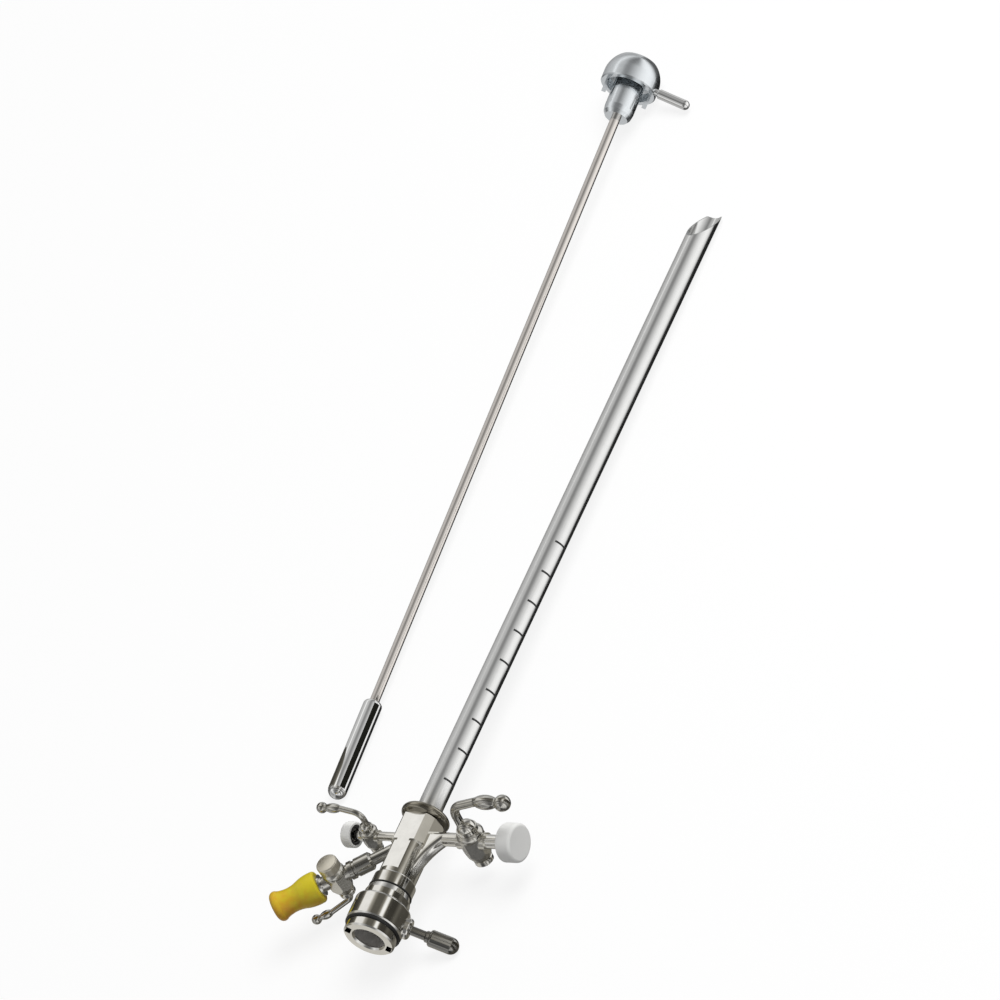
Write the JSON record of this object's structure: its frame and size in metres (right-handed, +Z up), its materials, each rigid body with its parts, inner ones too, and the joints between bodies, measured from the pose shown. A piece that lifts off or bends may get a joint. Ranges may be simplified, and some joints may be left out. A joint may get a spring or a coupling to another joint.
{
  "type": "urethrotome sheath",
  "caption": "Slim polished tube with an oblique beak, guard ring, hub with stopcocks and capped ports, turning lock ring with lever, and its hook-headed obturator beside it.",
  "frame": {"origin": "where the sheath tube's axis meets the front face of the guard ring", "axes": "+Y along the tube from hub to beak, seen from above; +X towards the right port; +Z up from the table. The tube slopes down to the beak by 2.48 degrees, as the sheath lies on a table."},
  "size_m": [0.0876, 0.2927, 0.0301],
  "materials": {
    "tube_steel": "satin polished",
    "hub_steel": "polished",
    "ring_steel": "dark polished",
    "valve_steel": "polished",
    "lever_steel": "polished",
    "nut_steel": "satin",
    "spring_steel": "ground",
    "knob_satin": "satin",
    "seal_rubber": "smooth",
    "cap_white": "moulded",
    "cap_yellow": "moulded",
    "head_satin": "satin",
    "obturator_steel": "polished"
  },
  "bodies": {
    "sheath": {"sheath_tube": "tube_steel", "guard_ring": "ring_steel", "hub_body": "hub_steel", "collar_ring": "hub_steel", "end_ring": "hub_steel", "socket_seal": "seal_rubber", "lock_stop_pin": "spring_steel", "right_pipe": "hub_steel", "right_valve_body": "valve_steel", "right_outlet": "valve_steel", "left_pipe": "hub_steel", "left_valve_body": "valve_steel", "left_outlet": "valve_steel", "channel_pipe": "hub_steel", "channel_sleeve": "valve_steel", "channel_valve_body": "valve_steel", "channel_outlet": "valve_steel"},
    "lock": {"lock_ring": "hub_steel", "lock_lever": "lever_steel"},
    "right_tap": {"right_valve_plug": "valve_steel", "right_valve_lever": "lever_steel", "right_valve_washer": "spring_steel", "right_valve_nut": "nut_steel"},
    "left_tap": {"left_valve_plug": "valve_steel", "left_valve_lever": "lever_steel", "left_valve_washer": "spring_steel", "left_valve_nut": "nut_steel"},
    "channel_tap": {"channel_valve_plug": "valve_steel", "channel_valve_knob": "knob_satin", "channel_valve_lever": "lever_steel", "channel_valve_washer": "spring_steel", "channel_valve_nut": "nut_steel"},
    "right_cap": {"right_luer_cap": "cap_white"},
    "left_cap": {"left_luer_cap": "cap_white"},
    "channel_cap": {"channel_rubber_cap": "cap_yellow"},
    "obturator": {"obturator_rod": "obturator_steel", "obturator_tip": "obturator_steel", "obturator_neck": "head_satin", "obturator_retaining_ring": "spring_steel"},
    "obturator_lock": {"obturator_head": "head_satin", "obturator_head_cover": "head_satin", "obturator_claws": "head_satin", "obturator_pin": "obturator_steel"}
  },
  "joints": [
    {"name": "lock_ring_turn", "type": "hinge", "parent": "sheath", "child": "lock", "pos_m": [0, -0.03482, 0.00151], "axis": [0, -0.9991, 0.0432], "range_deg": [0, 45]},
    {"name": "right_tap_turn", "type": "hinge", "parent": "sheath", "child": "right_tap", "pos_m": [0.0191, -0.00819, 0.00035], "axis": [0, -0.1819, -0.9833], "range_deg": [0, 90]},
    {"name": "left_tap_turn", "type": "hinge", "parent": "sheath", "child": "left_tap", "pos_m": [-0.0152, -0.00819, 0.00035], "axis": [0, 0.1819, 0.9833], "range_deg": [0, 90]},
    {"name": "channel_tap_turn", "type": "hinge", "parent": "sheath", "child": "channel_tap", "pos_m": [-0.0197, -0.02243, 0.00097], "axis": [0.0203, -0.0716, -0.9972], "range_deg": [0, 90]},
    {"name": "right_cap_pull", "type": "slide", "parent": "sheath", "child": "right_cap", "axis": [1, 0, 0], "range_m": [0, 0.006]},
    {"name": "left_cap_pull", "type": "slide", "parent": "sheath", "child": "left_cap", "axis": [-1, 0, 0], "range_m": [0, 0.005]},
    {"name": "channel_cap_pull", "type": "slide", "parent": "sheath", "child": "channel_cap", "axis": [-0.8141, -0.5802, 0.0251], "range_m": [0, 0.01]},
    {"name": "obturator_slide", "type": "slide", "parent": "sheath", "child": "obturator", "axis": [0, 1, 0], "range_m": [0, 0.2]},
    {"name": "obturator_head_turn", "type": "hinge", "parent": "obturator", "child": "obturator_lock", "pos_m": [-0.0412, 0.24144, -0.00436], "axis": [0, -0.9997, -0.0231], "range_deg": [0, 30]}
  ]
}
